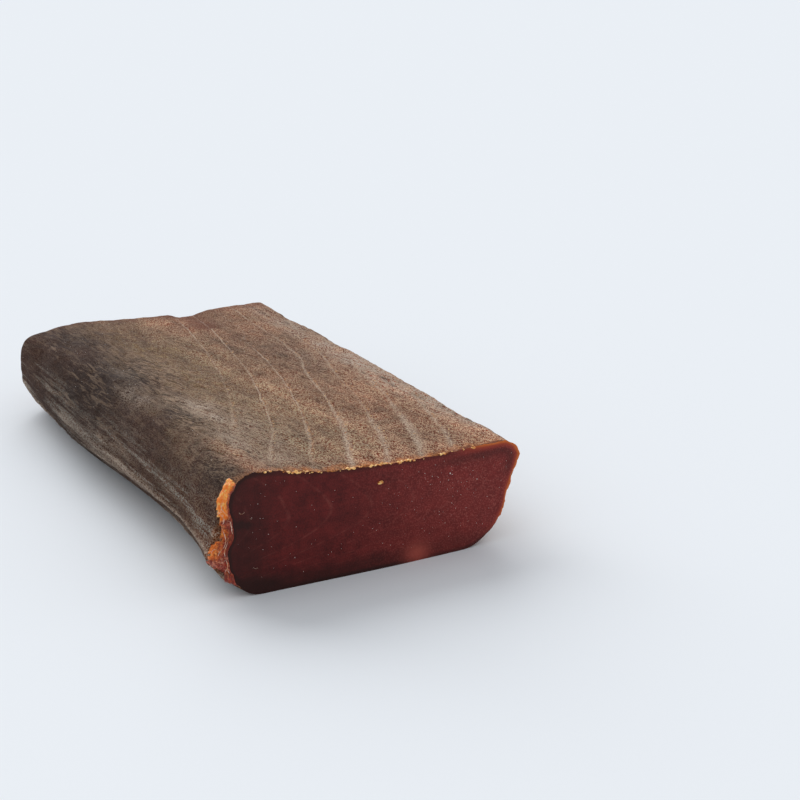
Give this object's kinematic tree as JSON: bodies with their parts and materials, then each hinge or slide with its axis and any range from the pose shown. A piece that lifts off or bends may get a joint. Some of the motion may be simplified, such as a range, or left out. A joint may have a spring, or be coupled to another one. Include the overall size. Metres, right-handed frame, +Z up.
{
  "type": "salt-cured tuna loin",
  "caption": "Block of salt-cured, air-dried tuna loin with a dry grey-brown skin, one straight dark red cut face and a torn rim beside it, lying on its flat underside.",
  "frame": {"origin": "middle of the bounding box, on the surface that the loin lies on", "axes": "+X across the loin towards its thin undercut edge, +Y along it from the cut face to the trimmed tail end, +Z up"},
  "size_m": [0.1154, 0.2088, 0.0401],
  "materials": {
    "cured_flesh": "dry, matt and finely grained outside, dense dark red and faintly waxy on the cut"
  },
  "bodies": {
    "root": {"loin": "cured_flesh"}
  },
  "joints": []
}
